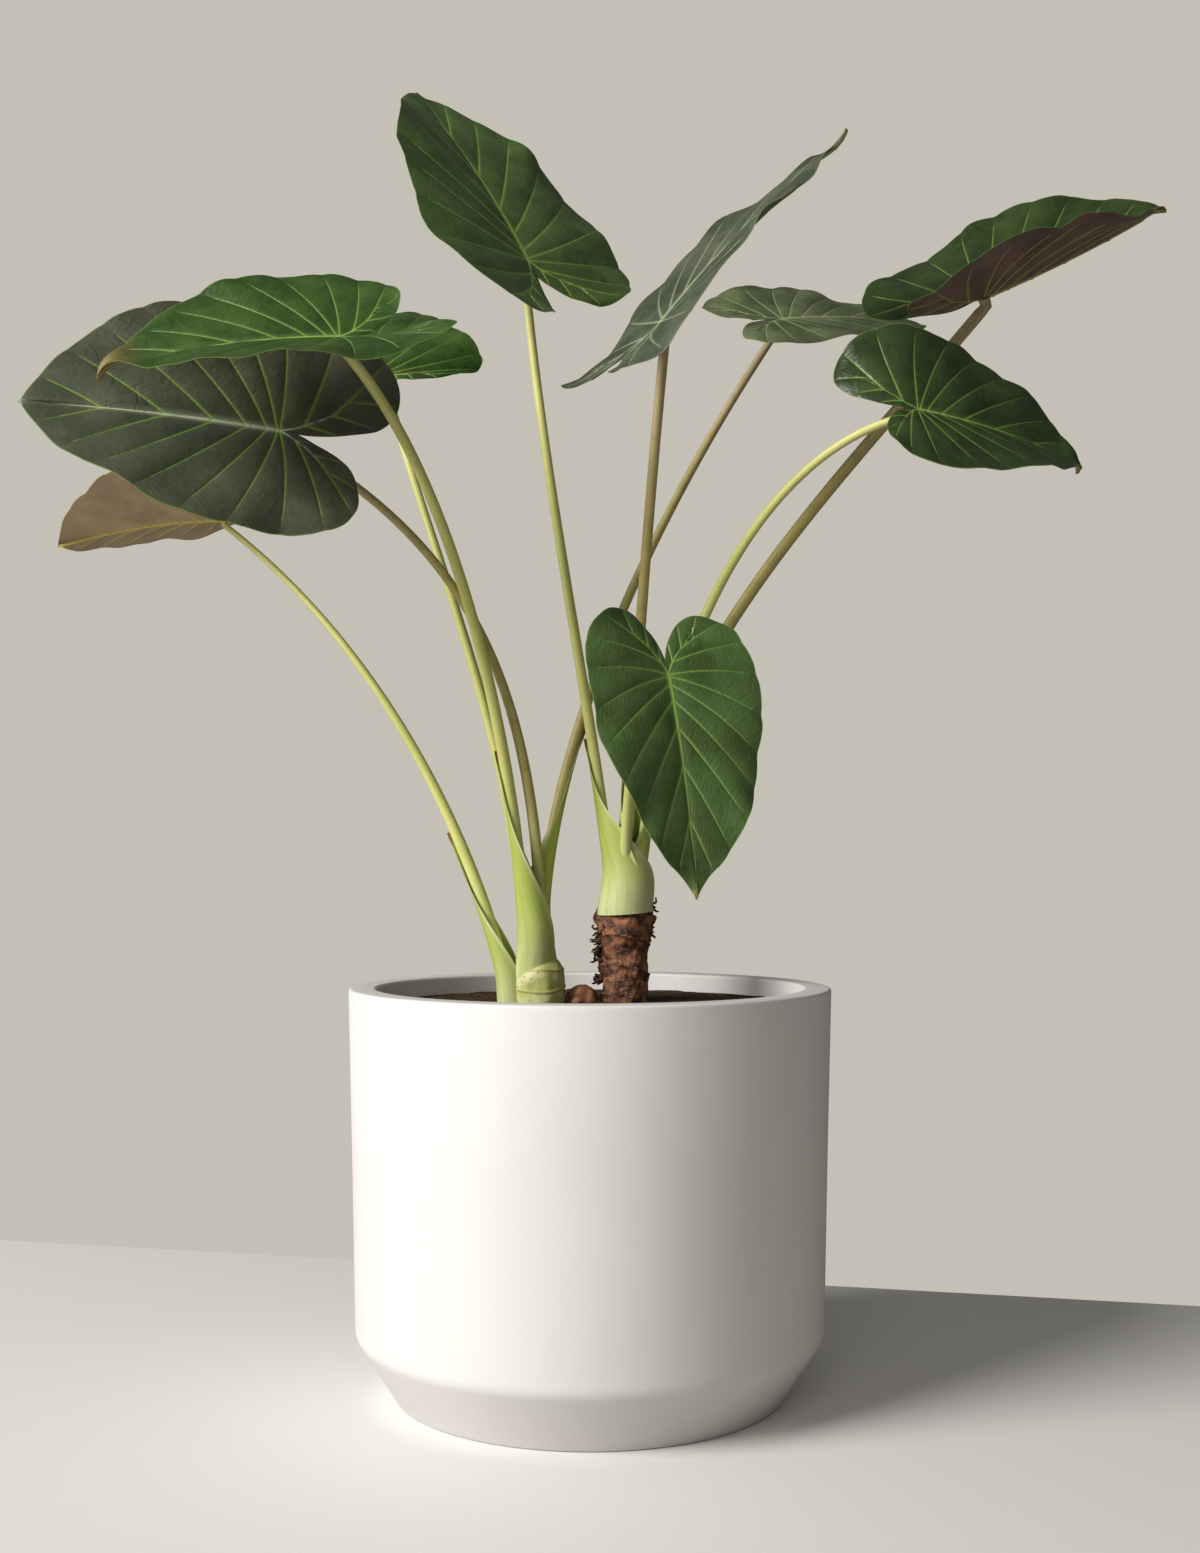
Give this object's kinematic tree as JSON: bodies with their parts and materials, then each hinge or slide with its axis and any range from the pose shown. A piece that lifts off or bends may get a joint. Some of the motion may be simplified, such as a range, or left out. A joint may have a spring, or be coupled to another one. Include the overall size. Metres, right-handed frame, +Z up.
{
  "type": "potted alocasia",
  "caption": "Broad-leaved alocasia house plant: heart-shaped blades on long curved stalks, rising from two shoots in a round ceramic planter with soil.",
  "frame": {"origin": "centre of the planter's flat bottom, on the surface that it stands on", "axes": "+Z up along the planter's axis, +X to the plant's right as seen from its front, +Y towards its back"},
  "size_m": [0.7256, 0.3703, 0.8637],
  "materials": {
    "planter_ceramic": "matte",
    "soil": "matte",
    "rhizome_bark": "matte",
    "young_stem": "satin",
    "leaf_stalk": "satin",
    "leaf_blade": "satin"
  },
  "bodies": {
    "root": {"planter": "planter_ceramic", "potting_soil": "soil", "rhizome": "rhizome_bark", "corm": "young_stem", "sheath_left": "young_stem", "sheath_right": "young_stem", "stalk_far_left": "leaf_stalk", "stalk_upper_left": "leaf_stalk", "stalk_behind_left": "leaf_stalk", "stalk_low_left": "leaf_stalk", "stalk_centre_right": "leaf_stalk", "stalk_top": "leaf_stalk", "stalk_upright": "leaf_stalk", "stalk_top_right": "leaf_stalk", "stalk_lower_right": "leaf_stalk", "stalk_front": "leaf_stalk", "blade_far_left": "leaf_blade", "blade_upper_left": "leaf_blade", "blade_behind_left": "leaf_blade", "blade_low_left": "leaf_blade", "blade_centre_right": "leaf_blade", "blade_top": "leaf_blade", "blade_upright": "leaf_blade", "blade_top_right": "leaf_blade", "blade_lower_right": "leaf_blade", "blade_front": "leaf_blade"}
  },
  "joints": []
}
